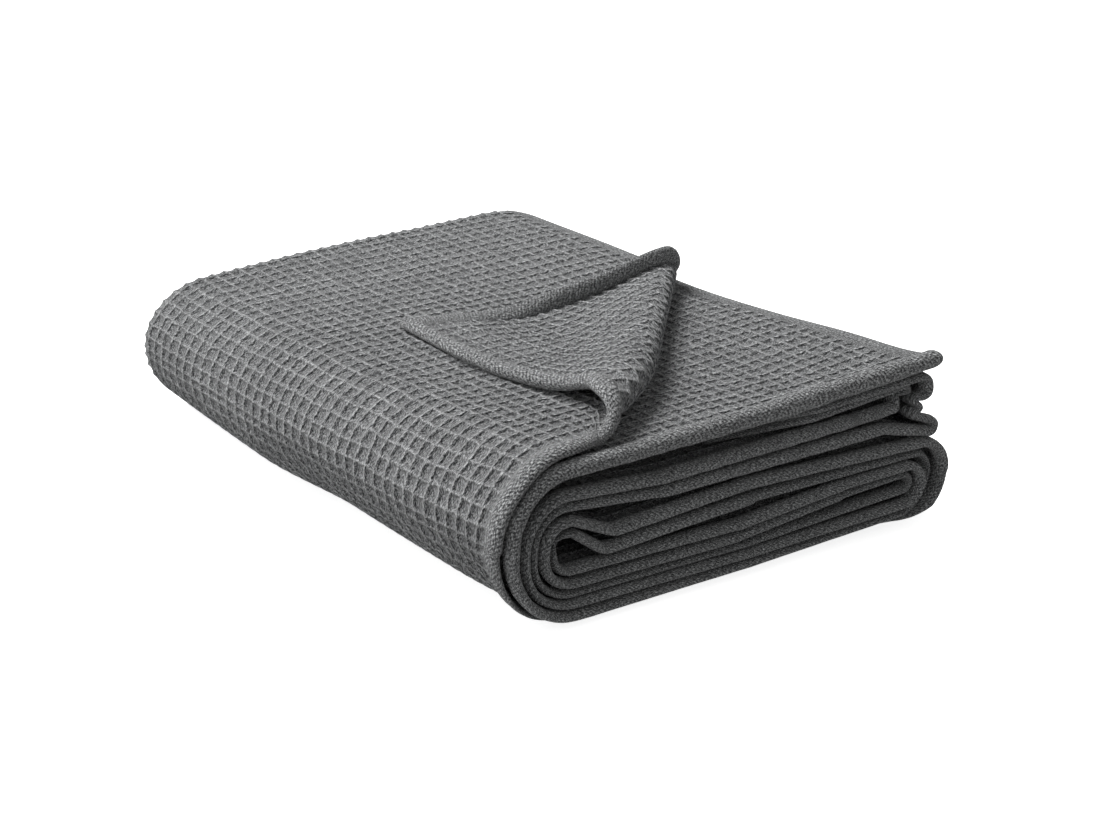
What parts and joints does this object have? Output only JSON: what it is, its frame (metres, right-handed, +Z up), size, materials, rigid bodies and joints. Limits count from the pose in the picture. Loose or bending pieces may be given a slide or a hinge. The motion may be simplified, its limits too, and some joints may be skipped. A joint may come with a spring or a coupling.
{
  "type": "bedspread",
  "caption": "Waffle-weave bedspread, folded back and forth into a thick stack, with one corner of the top layer turned back.",
  "frame": {"origin": "under the middle of the folded stack's box, on the surface that it rests on", "axes": "+X along the layered front face, +Y from the hems at the front to the fold at the back, +Z up"},
  "size_m": [0.3708, 0.5162, 0.14],
  "materials": {
    "waffle_cloth": "matt melange waffle weave"
  },
  "bodies": {
    "root": {"bedspread": "waffle_cloth"}
  },
  "joints": []
}
